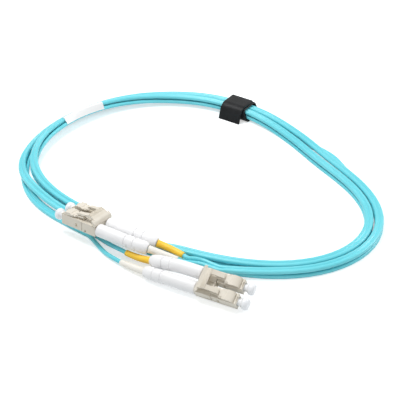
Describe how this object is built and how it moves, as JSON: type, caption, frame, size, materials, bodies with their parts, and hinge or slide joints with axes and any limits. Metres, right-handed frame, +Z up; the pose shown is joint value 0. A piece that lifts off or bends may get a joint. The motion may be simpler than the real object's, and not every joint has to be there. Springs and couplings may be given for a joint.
{
  "type": "fibre optic patch cord",
  "caption": "Duplex fibre optic patch cord: coiled aqua zipcord held by a hook-and-loop strap, with capped duplex LC connectors, white boots and coloured sleeves.",
  "frame": {"origin": "on the surface the cord lies on, under the middle of the fittings' bounding box (connectors, strap and label, without the free cord)", "axes": "+Z up from that surface, +X to the right and +Y away as the picture sees it: the connectors lie on the -Y side and the strap on the +Y side"},
  "size_m": [0.1554, 0.1653, 0.014],
  "materials": {
    "zipcord_jacket": "smooth LSZH or PVC jacket, satin",
    "connector_plastic": "moulded polymer, beige",
    "boot_white": "soft moulded boot, white",
    "cap_white": "soft moulded cap, white",
    "sleeve_ivory": "shrink sleeve, ivory",
    "sleeve_yellow": "shrink sleeve, yellow",
    "ferrule_ceramic": "polished zirconia, white",
    "ferrule_metal": "nickel-plated",
    "spring_steel": "wire",
    "fibre_buffer": "tight buffer over the fibre",
    "hook_and_loop": "woven tape, black",
    "label_paper": "blank printed film"
  },
  "bodies": {
    "cord": {"zipcord_coil": "zipcord_jacket", "a_leg_left": "zipcord_jacket", "a_leg_right": "zipcord_jacket", "b_leg_left": "zipcord_jacket", "b_leg_right": "zipcord_jacket", "strap_wrap": "hook_and_loop", "label": "label_paper", "a_duplex_clip": "connector_plastic", "a_housing_left": "connector_plastic", "a_rear_body_left": "ferrule_metal", "a_crimp_sleeve_left": "ferrule_metal", "a_boot_left": "boot_white", "a_id_sleeve_left": "sleeve_ivory", "a_spring_left": "spring_steel", "a_housing_right": "connector_plastic", "a_rear_body_right": "ferrule_metal", "a_crimp_sleeve_right": "ferrule_metal", "a_boot_right": "boot_white", "a_id_sleeve_right": "sleeve_yellow", "a_spring_right": "spring_steel", "b_duplex_clip": "connector_plastic", "b_housing_left": "connector_plastic", "b_rear_body_left": "ferrule_metal", "b_crimp_sleeve_left": "ferrule_metal", "b_boot_left": "boot_white", "b_id_sleeve_left": "sleeve_yellow", "b_spring_left": "spring_steel", "b_housing_right": "connector_plastic", "b_rear_body_right": "ferrule_metal", "b_crimp_sleeve_right": "ferrule_metal", "b_boot_right": "boot_white", "b_id_sleeve_right": "sleeve_ivory", "b_spring_right": "spring_steel"},
    "a_trigger": {"a_trigger": "connector_plastic"},
    "a_latch_left": {"a_latch_left": "connector_plastic"},
    "a_ferrule_left": {"a_ferrule_left": "ferrule_ceramic", "a_ferrule_flange_left": "ferrule_metal", "a_buffered_fibre_left": "fibre_buffer"},
    "a_dust_cap_left": {"a_dust_cap_left": "cap_white"},
    "a_latch_right": {"a_latch_right": "connector_plastic"},
    "a_ferrule_right": {"a_ferrule_right": "ferrule_ceramic", "a_ferrule_flange_right": "ferrule_metal", "a_buffered_fibre_right": "fibre_buffer"},
    "a_dust_cap_right": {"a_dust_cap_right": "cap_white"},
    "b_trigger": {"b_trigger": "connector_plastic"},
    "b_latch_left": {"b_latch_left": "connector_plastic"},
    "b_ferrule_left": {"b_ferrule_left": "ferrule_ceramic", "b_ferrule_flange_left": "ferrule_metal", "b_buffered_fibre_left": "fibre_buffer"},
    "b_dust_cap_left": {"b_dust_cap_left": "cap_white"},
    "b_latch_right": {"b_latch_right": "connector_plastic"},
    "b_ferrule_right": {"b_ferrule_right": "ferrule_ceramic", "b_ferrule_flange_right": "ferrule_metal", "b_buffered_fibre_right": "fibre_buffer"},
    "b_dust_cap_right": {"b_dust_cap_right": "cap_white"},
    "strap_tail": {"strap_tail": "hook_and_loop"}
  },
  "joints": [
    {"name": "a_trigger_press", "type": "hinge", "parent": "cord", "child": "a_trigger", "pos_m": [-0.02102, -0.03279, 0.00998], "axis": [-0.58, -0.8105, 0.0819], "range_deg": [0, 4.5], "stiffness_Nm_per_rad": 0.6},
    {"name": "a_latch_left_flex", "type": "hinge", "parent": "cord", "child": "a_latch_left", "pos_m": [-0.03585, -0.02599, 0.01038], "axis": [0.58, 0.8105, -0.0819], "range_deg": [0, 3.9]},
    {"name": "a_ferrule_left_slide", "type": "slide", "parent": "cord", "child": "a_ferrule_left", "axis": [0.814, -0.5806, 0.0192], "range_m": [0, 0.0008], "stiffness_N_per_m": 1500, "deforming": ["a_spring_left"]},
    {"name": "a_dust_cap_left_pull", "type": "slide", "parent": "cord", "child": "a_dust_cap_left", "axis": [-0.814, 0.5806, -0.0192], "range_m": [0, 0.0095]},
    {"name": "a_latch_right_flex", "type": "hinge", "parent": "cord", "child": "a_latch_right", "pos_m": [-0.03222, -0.02093, 0.00987], "axis": [0.58, 0.8105, -0.0819], "range_deg": [0, 3.9]},
    {"name": "a_ferrule_right_slide", "type": "slide", "parent": "cord", "child": "a_ferrule_right", "axis": [0.814, -0.5806, 0.0192], "range_m": [0, 0.0008], "stiffness_N_per_m": 1500, "deforming": ["a_spring_right"]},
    {"name": "a_dust_cap_right_pull", "type": "slide", "parent": "cord", "child": "a_dust_cap_right", "axis": [-0.814, 0.5806, -0.0192], "range_m": [0, 0.0095]},
    {"name": "b_trigger_press", "type": "hinge", "parent": "cord", "child": "b_trigger", "pos_m": [0.01782, -0.06596, 0.007], "axis": [0.3977, 0.7743, 0.4923], "range_deg": [0, 4.5], "stiffness_Nm_per_rad": 0.6},
    {"name": "b_latch_left_flex", "type": "hinge", "parent": "cord", "child": "b_latch_left", "pos_m": [0.03329, -0.07087, 0.00856], "axis": [-0.3977, -0.7743, -0.4923], "range_deg": [0, 3.9]},
    {"name": "b_ferrule_left_slide", "type": "slide", "parent": "cord", "child": "b_ferrule_left", "axis": [-0.8951, 0.4453, 0.0227], "range_m": [0, 0.0008], "stiffness_N_per_m": 1500, "deforming": ["b_spring_left"]},
    {"name": "b_dust_cap_left_pull", "type": "slide", "parent": "cord", "child": "b_dust_cap_left", "axis": [0.8951, -0.4453, -0.0227], "range_m": [0, 0.0095]},
    {"name": "b_latch_right_flex", "type": "hinge", "parent": "cord", "child": "b_latch_right", "pos_m": [0.0308, -0.07571, 0.00549], "axis": [-0.3977, -0.7743, -0.4923], "range_deg": [0, 3.9]},
    {"name": "b_ferrule_right_slide", "type": "slide", "parent": "cord", "child": "b_ferrule_right", "axis": [-0.8951, 0.4453, 0.0227], "range_m": [0, 0.0008], "stiffness_N_per_m": 1500, "deforming": ["b_spring_right"]},
    {"name": "b_dust_cap_right_pull", "type": "slide", "parent": "cord", "child": "b_dust_cap_right", "axis": [0.8951, -0.4453, -0.0227], "range_m": [0, 0.0095]},
    {"name": "strap_tail_peel", "type": "hinge", "parent": "cord", "child": "strap_tail", "pos_m": [0.03813, 0.07449, 0.00681], "axis": [-0.8341, 0.5516, 0], "range_deg": [0, 60]}
  ],
  "couplings": [
    {"joint": "a_latch_left_flex", "follows": "a_trigger_press", "ratio": 0.85},
    {"joint": "a_latch_right_flex", "follows": "a_trigger_press", "ratio": 0.85},
    {"joint": "b_latch_left_flex", "follows": "b_trigger_press", "ratio": 0.85},
    {"joint": "b_latch_right_flex", "follows": "b_trigger_press", "ratio": 0.85}
  ]
}
